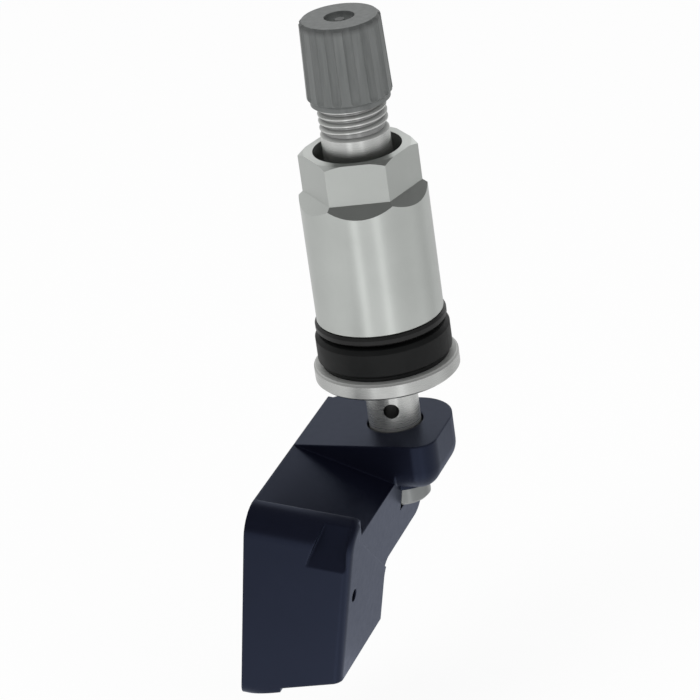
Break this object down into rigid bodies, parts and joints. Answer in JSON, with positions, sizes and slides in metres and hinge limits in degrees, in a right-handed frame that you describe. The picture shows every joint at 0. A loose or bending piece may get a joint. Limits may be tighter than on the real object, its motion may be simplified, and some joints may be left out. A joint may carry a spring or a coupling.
{
  "type": "tyre pressure sensor",
  "caption": "Wheel tyre pressure sensor: a clamp-in metal valve with union nut, rubber rim seal and ribbed cap, screwed to a leaning moulded housing for the sensor electronics.",
  "frame": {"origin": "on the valve axis, in the plane where the wheel rim rests on the rubber seal", "axes": "+Z along the valve towards its cap; -Y towards the free end of the housing; -X faces the rim and +X faces the tyre"},
  "size_m": [0.0221, 0.0317, 0.0721],
  "materials": {
    "stem_alloy": "bright turned",
    "nut_alloy": "fine turned satin",
    "cap_plastic": "satin moulded grey",
    "seal_rubber": "moulded black",
    "washer_plastic": "smooth grey",
    "inner_rubber": "soft black",
    "core_brass": "turned",
    "spring_steel": "drawn wire",
    "foot_nut_steel": "plated",
    "housing_plastic": "semi-gloss moulded dark navy",
    "cover_plastic": "satin moulded black",
    "board_laminate": "green solder mask",
    "chip_case": "moulded black",
    "cell_steel": "drawn can",
    "tab_steel": "rolled strip",
    "coil_ferrite": "sintered dark grey",
    "coil_copper": "enamelled copper wire",
    "crystal_can": "plain can",
    "capacitor_ceramic": "fired ceramic",
    "antenna_wire": "drawn wire"
  },
  "bodies": {
    "sensor": {"valve_stem": "stem_alloy", "rim_seal": "seal_rubber", "seal_neck": "seal_rubber", "foot_nut": "foot_nut_steel", "sensor_housing": "housing_plastic", "housing_cover": "cover_plastic", "core_barrel": "core_brass", "core_gasket": "inner_rubber", "core_spring": "spring_steel", "circuit_board": "board_laminate", "pressure_chip": "chip_case", "port_seal": "inner_rubber", "battery_cell": "cell_steel", "battery_tab_positive": "tab_steel", "battery_tab_negative": "tab_steel", "coil_core": "coil_ferrite", "coil_winding": "coil_copper", "timing_crystal": "crystal_can", "chip_capacitors": "capacitor_ceramic", "rf_antenna": "antenna_wire"},
    "nut_carrier": {"thrust_washer": "washer_plastic"},
    "union_nut": {"union_nut": "nut_alloy"},
    "cap_carrier": {"cap_gasket": "inner_rubber"},
    "valve_cap": {"valve_cap": "cap_plastic"},
    "core_pin": {"core_pin": "core_brass", "core_seal": "inner_rubber"}
  },
  "joints": [
    {"name": "nut_travel", "type": "slide", "parent": "sensor", "child": "nut_carrier", "axis": [0, 0, 1], "range_m": [0, 0.005]},
    {"name": "nut_turn", "type": "hinge", "parent": "nut_carrier", "child": "union_nut", "pos_m": [0, 0, 0], "axis": [0, 0, 1], "range_deg": [0, 1800]},
    {"name": "cap_travel", "type": "slide", "parent": "sensor", "child": "cap_carrier", "axis": [0, 0, 1], "range_m": [0, 0.00714]},
    {"name": "cap_turn", "type": "hinge", "parent": "cap_carrier", "child": "valve_cap", "pos_m": [0, 0, 0], "axis": [0, 0, 1], "range_deg": [0, 3240]},
    {"name": "pin_press", "type": "slide", "parent": "sensor", "child": "core_pin", "axis": [0, 0, 1], "range_m": [-0.0012, 0], "stiffness_N_per_m": 1500, "deforming": ["core_spring"]}
  ],
  "couplings": [
    {"joint": "nut_turn", "follows": "nut_travel", "rad_per_m": 6283.2},
    {"joint": "cap_turn", "follows": "cap_travel", "rad_per_m": 7915.8}
  ]
}
